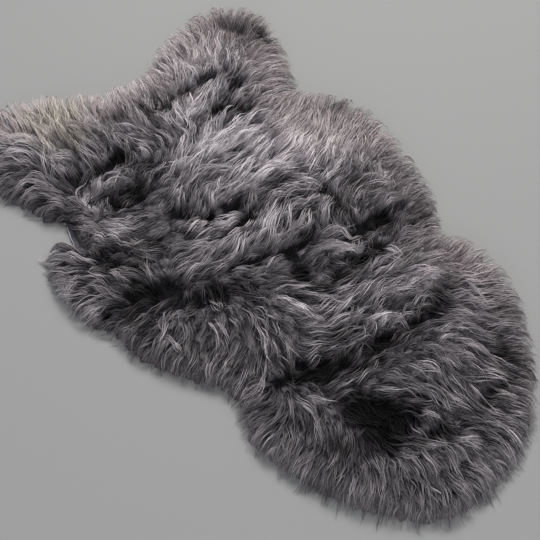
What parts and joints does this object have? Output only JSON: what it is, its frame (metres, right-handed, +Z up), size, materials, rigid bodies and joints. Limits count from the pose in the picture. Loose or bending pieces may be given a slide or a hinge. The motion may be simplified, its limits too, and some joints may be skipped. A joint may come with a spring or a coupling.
{
  "type": "sheepskin rug",
  "caption": "Single long-wool sheepskin rug: a flat tanned skin in the pelt's own outline, with a deep wavy fleece whose locks fall over its edge.",
  "frame": {"origin": "on the floor under the middle of the rug's bounding box, wool tips included", "axes": "+Z up, +Y along the spine towards the neck, +X towards the right foreleg"},
  "size_m": [0.6642, 1.0873, 0.0573],
  "materials": {
    "skin": "matt suede flesh side",
    "fleece": "soft dyed long wool with a slight sheen"
  },
  "bodies": {
    "root": {"skin": "skin", "fleece": "fleece"}
  },
  "joints": []
}
